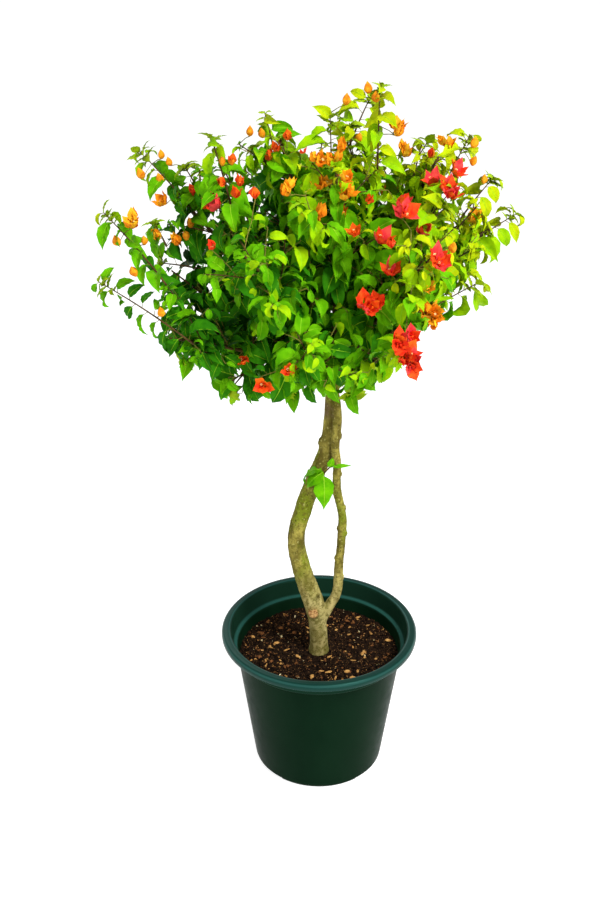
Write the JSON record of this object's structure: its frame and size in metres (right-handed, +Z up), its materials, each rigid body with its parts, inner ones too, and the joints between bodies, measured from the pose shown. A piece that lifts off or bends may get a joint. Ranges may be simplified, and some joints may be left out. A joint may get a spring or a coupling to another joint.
{
  "type": "potted bougainvillea standard",
  "caption": "Bougainvillea bush grown as a small standard: a trunk of two stems that part and rejoin, and a loose round crown in bloom, in a round nursery pot.",
  "frame": {"origin": "centre of the pot's flat underside, on the floor", "axes": "+Z up along the trunk; +X to the right and -Y towards the viewer, with the sprout on the stem's front"},
  "size_m": [0.5824, 0.5005, 1.0496],
  "materials": {
    "pot": "satin dark green moulded plastic, rim a little lighter and bluer",
    "soil": "moist bark-based potting mix with pale chips",
    "bark": "rough grey-tan bark with green algae and small knots",
    "foliage": "smooth thin leaves, mid green, yellow-green on young shoots, with orange and red bracts"
  },
  "bodies": {
    "root": {"bough_back_left_high": "bark", "bough_back_left_low": "bark", "bough_back_low": "bark", "bough_back_right_high": "bark", "bough_back_right_low": "bark", "bough_front_left_high": "bark", "bough_front_left_low": "bark", "bough_front_low": "bark", "bough_front_right_high": "bark", "bough_front_right_low": "bark", "bough_left_high": "bark", "bough_left_low": "bark", "bough_right_high": "bark", "bough_right_low": "bark", "bough_top": "bark", "bough_top_front": "bark", "bough_top_left": "bark", "bough_top_right": "bark", "foliage_back_left_high": "foliage", "foliage_back_left_low": "foliage", "foliage_back_low": "foliage", "foliage_back_right_high": "foliage", "foliage_back_right_low": "foliage", "foliage_front_left_high": "foliage", "foliage_front_left_low": "foliage", "foliage_front_low": "foliage", "foliage_front_right_high": "foliage", "foliage_front_right_low": "foliage", "foliage_left_high": "foliage", "foliage_left_low": "foliage", "foliage_right_high": "foliage", "foliage_right_low": "foliage", "foliage_top": "foliage", "foliage_top_front": "foliage", "foliage_top_left": "foliage", "foliage_top_right": "foliage", "main_stem_lower": "bark", "main_stem_upper": "bark", "pot": "pot", "side_stem_lower": "bark", "side_stem_upper": "bark", "soil": "soil", "sprout": "foliage", "trunk_foot": "bark", "trunk_top": "bark"}
  },
  "joints": []
}
